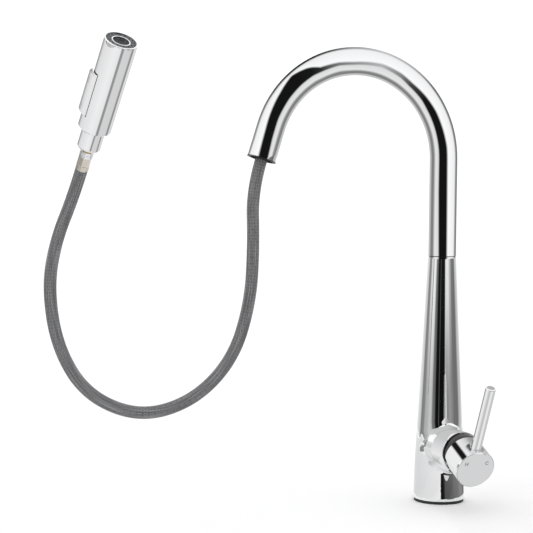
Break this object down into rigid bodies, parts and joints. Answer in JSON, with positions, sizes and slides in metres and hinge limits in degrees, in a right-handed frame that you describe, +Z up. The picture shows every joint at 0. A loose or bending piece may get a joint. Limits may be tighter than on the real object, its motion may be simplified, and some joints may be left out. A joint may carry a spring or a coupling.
{
  "type": "pull-out kitchen mixer",
  "caption": "Single-lever kitchen mixer with a tapered column, a high-arch swivel spout and a spray handset drawn out on its braided hose.",
  "frame": {"origin": "on the deck, at the centre of the base gasket's underside, on the column's axis", "axes": "+Z up along the column, +X out along the lever boss, -Y along the spout's reach"},
  "size_m": [0.1557, 0.4285, 0.5166],
  "materials": {
    "chrome": "mirror-polished chrome plate",
    "brass": "machined brass",
    "nickel": "nickel-plated crimp",
    "steel": "plain stainless steel",
    "black_rubber": "matt black rubber",
    "black_plastic": "matt black plastic",
    "grey_plastic": "dark grey plastic",
    "white_plastic": "natural acetal",
    "ceramic": "polished alumina ceramic",
    "braid": "dark grey braided nylon",
    "mark_grey": "grey inlay"
  },
  "bodies": {
    "mixer_body": {"column_shell": "chrome", "base_gasket": "black_rubber", "mounting_shank": "brass", "valve_block": "brass", "cartridge_body": "black_plastic", "ceramic_fixed_disc": "ceramic", "cartridge_nut": "nickel", "cartridge_seals": "black_rubber", "neck_bush": "white_plastic", "seam_glide_ring": "black_plastic", "hose_connector": "brass", "inner_ferrule": "nickel", "hose_in_column": "braid", "deck_rubber_washer": "black_rubber", "deck_steel_washer": "steel", "shank_nut": "steel"},
    "carrier": {"turret": "white_plastic", "ceramic_moving_disc": "ceramic", "spindle_pin": "steel"},
    "lever": {"spindle": "steel", "lever_cap": "chrome", "lever_glide_ring": "black_plastic", "lever_rod": "chrome", "lever_grub_screw": "steel", "hot_mark": "mark_grey", "cold_mark": "mark_grey"},
    "spout": {"spout_tube": "chrome", "spout_spigot": "brass", "spigot_o_rings": "black_rubber", "spigot_clip": "steel", "outlet_bush": "black_plastic", "hose_in_spout": "braid"},
    "hose": {"spray_hose": "braid"},
    "hose_end": {"hose_ferrule": "nickel", "hose_swivel_nut": "chrome"},
    "handset": {"handset_neck": "brass", "handset_tail": "chrome", "head_shell": "chrome", "waterway": "white_plastic", "check_valve": "white_plastic", "inlet_filter": "grey_plastic", "flow_distributor": "white_plastic", "distributor_o_ring": "black_rubber", "spray_face": "grey_plastic", "nozzle_mat": "black_plastic", "aerator_ring": "chrome", "aerator_mesh": "black_plastic", "button_pin": "steel", "button_cradle": "grey_plastic"},
    "spray_button": {"button": "chrome"},
    "diverter": {"diverter_stem": "white_plastic"}
  },
  "joints": [
    {"name": "spout_swivel", "type": "hinge", "parent": "mixer_body", "child": "spout", "pos_m": [0, 0, 0], "axis": [0, 0, 1], "range_deg": [-110, 110]},
    {"name": "lever_turn", "type": "hinge", "parent": "mixer_body", "child": "carrier", "pos_m": [0, 0, 0.056], "axis": [1, 0, 0], "range_deg": [-45, 45]},
    {"name": "lever_tilt", "type": "hinge", "parent": "carrier", "child": "lever", "pos_m": [0.054, 0, 0.056], "axis": [0, 1, 0], "range_deg": [-24, 0]},
    {"name": "hose_swing", "type": "hinge", "parent": "spout", "child": "hose", "pos_m": [0, -0.19551, 0.34509], "axis": [0, 0, 1], "range_deg": [-45, 45], "deforming": ["spray_hose"]},
    {"name": "handset_lift", "type": "slide", "parent": "hose", "child": "hose_end", "axis": [0, 0, 1], "range_m": [-0.05, 0.04], "deforming": ["spray_hose"]},
    {"name": "handset_spin", "type": "hinge", "parent": "hose_end", "child": "handset", "pos_m": [0, -0.3663, 0.3533], "axis": [0.5511, 0.13, 0.8242], "continuous": true},
    {"name": "button_rock", "type": "hinge", "parent": "handset", "child": "spray_button", "pos_m": [0.03256, -0.37072, 0.40199], "axis": [0.8313, -0.0002, -0.5558], "range_deg": [-4, 4]},
    {"name": "diverter_travel", "type": "slide", "parent": "handset", "child": "diverter", "axis": [0.0721, -0.9915, 0.1082], "range_m": [-0.001, 0.001]}
  ],
  "couplings": [
    {"joint": "diverter_travel", "follows": "button_rock", "m_per_rad": 0.014}
  ]
}
